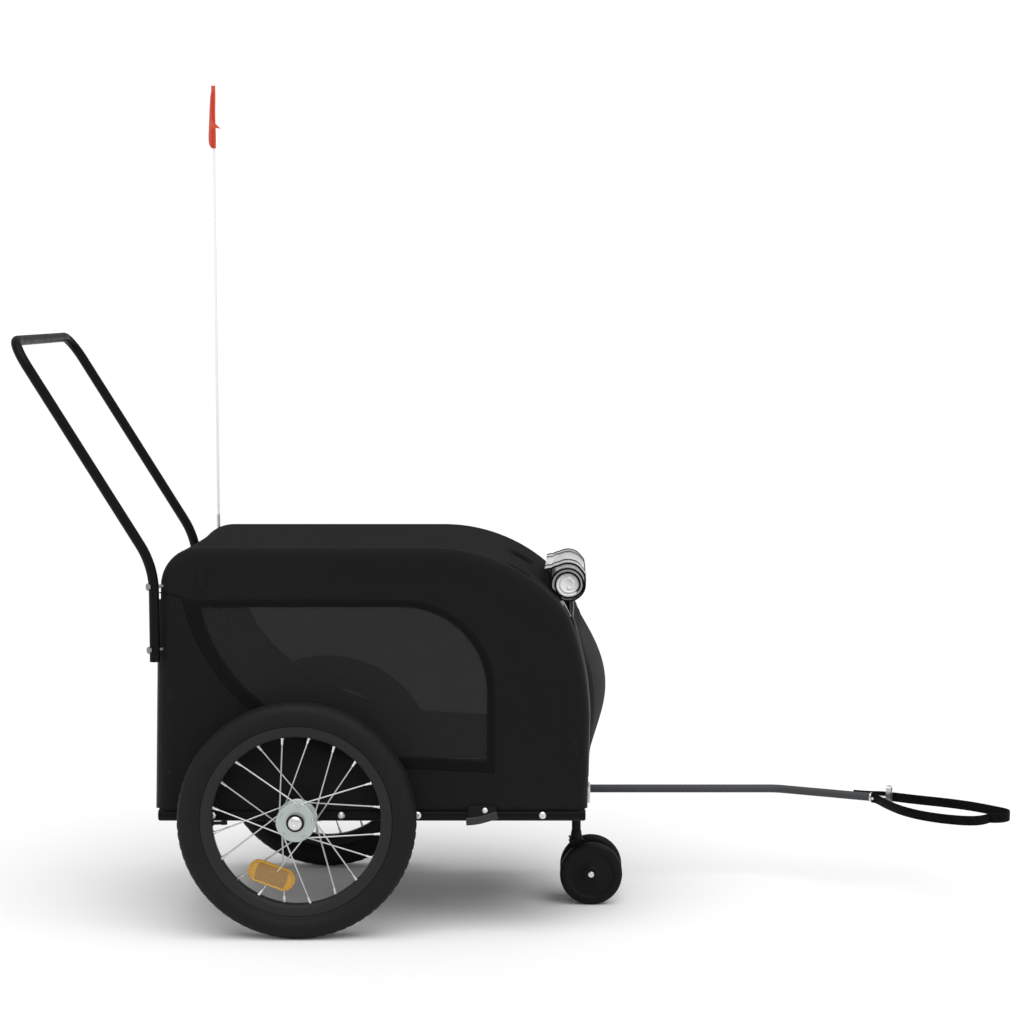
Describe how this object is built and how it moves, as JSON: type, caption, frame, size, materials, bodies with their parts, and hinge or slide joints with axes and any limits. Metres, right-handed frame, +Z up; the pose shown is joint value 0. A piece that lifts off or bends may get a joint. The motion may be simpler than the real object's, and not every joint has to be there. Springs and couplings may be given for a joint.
{
  "type": "pet bike trailer",
  "caption": "Covered pet trailer towed behind a bicycle: fabric cabin on a tube frame with spoked wheels, front caster, push handle, tow arm, safety strap and flag.",
  "frame": {"origin": "on the ground, midway between the handle's rear and the safety strap's tip, in the trailer's middle plane", "axes": "+X forward to the hitch, +Y to the trailer's left side, +Z up"},
  "size_m": [1.71, 0.599, 1.45],
  "materials": {
    "frame_black": "semi-gloss black powder coat",
    "cabin_fabric": "black coated woven polyester",
    "roof_fabric": "black coated woven polyester",
    "mesh": "open black polyester mesh",
    "binding": "black edge tape",
    "door_mesh": "padded black mesh panel",
    "floor": "black fabric over board",
    "rain_cover": "clear soft vinyl sheet, rolled",
    "tyre": "black rubber",
    "rim_black": "black painted steel",
    "hub_zinc": "zinc plated",
    "bolt_zinc": "zinc plated",
    "amber": "amber prism reflector",
    "red": "red prism reflector",
    "clear_reflector": "clear prism reflector",
    "arm_steel": "grey powder coat",
    "strap": "black webbing",
    "caster_plastic": "black moulded nylon",
    "catch_plastic": "black moulded plastic",
    "flag_pole": "white fibreglass",
    "flag": "orange pennant cloth"
  },
  "bodies": {
    "root": {"arch_left": "frame_black", "arch_right": "frame_black", "arm_clamps": "frame_black", "axle_left": "bolt_zinc", "axle_right": "bolt_zinc", "caster_socket": "frame_black", "cover_straps": "strap", "cross_tube_axle": "frame_black", "cross_tube_front": "frame_black", "cross_tube_rear": "frame_black", "flag": "flag", "flag_holders": "strap", "flag_pole": "flag_pole", "floor_board": "floor", "front_reflectors": "clear_reflector", "front_surround": "cabin_fabric", "handle": "frame_black", "handle_bolts": "bolt_zinc", "hitch_eye": "bolt_zinc", "rail_left": "frame_black", "rail_right": "frame_black", "rear_mesh": "door_mesh", "rear_panel": "cabin_fabric", "rear_reflectors": "red", "rolled_cover": "rain_cover", "roof_bars": "frame_black", "roof_panel": "roof_fabric", "safety_strap": "strap", "side_catch_left": "catch_plastic", "side_catch_right": "catch_plastic", "side_panel_left": "cabin_fabric", "side_panel_right": "cabin_fabric", "tow_arm": "arm_steel", "window_binding_left": "binding", "window_binding_right": "binding", "window_mesh_left": "mesh", "window_mesh_right": "mesh"},
    "wheel_right": {"tyre_right": "tyre", "rim_right": "rim_black", "hub_right": "hub_zinc", "wheel_reflector_right": "amber"},
    "wheel_left": {"tyre_left": "tyre", "rim_left": "rim_black", "hub_left": "hub_zinc", "wheel_reflector_left": "amber"},
    "caster_fork": {"caster_fork": "caster_plastic"},
    "caster_wheels": {"caster_axle": "bolt_zinc", "caster_wheel_right": "caster_plastic", "caster_wheel_left": "caster_plastic"},
    "front_door": {"front_door": "door_mesh"}
  },
  "joints": [
    {"name": "wheel_right_spin", "type": "hinge", "parent": "root", "child": "wheel_right", "pos_m": [-0.379, -0.27, 0.2], "axis": [0, 1, 0], "continuous": true},
    {"name": "wheel_left_spin", "type": "hinge", "parent": "root", "child": "wheel_left", "pos_m": [-0.379, 0.27, 0.2], "axis": [0, 1, 0], "continuous": true},
    {"name": "caster_swivel", "type": "hinge", "parent": "root", "child": "caster_fork", "pos_m": [0.08736, 0, 0.126], "axis": [0, 0, 1], "continuous": true},
    {"name": "caster_spin", "type": "hinge", "parent": "caster_fork", "child": "caster_wheels", "pos_m": [0.11336, 0, 0.055], "axis": [0, 1, 0], "continuous": true},
    {"name": "front_door_hinge", "type": "hinge", "parent": "root", "child": "front_door", "pos_m": [0.10493, 0, 0.25], "axis": [0, 1, 0], "range_deg": [0, 100]}
  ]
}
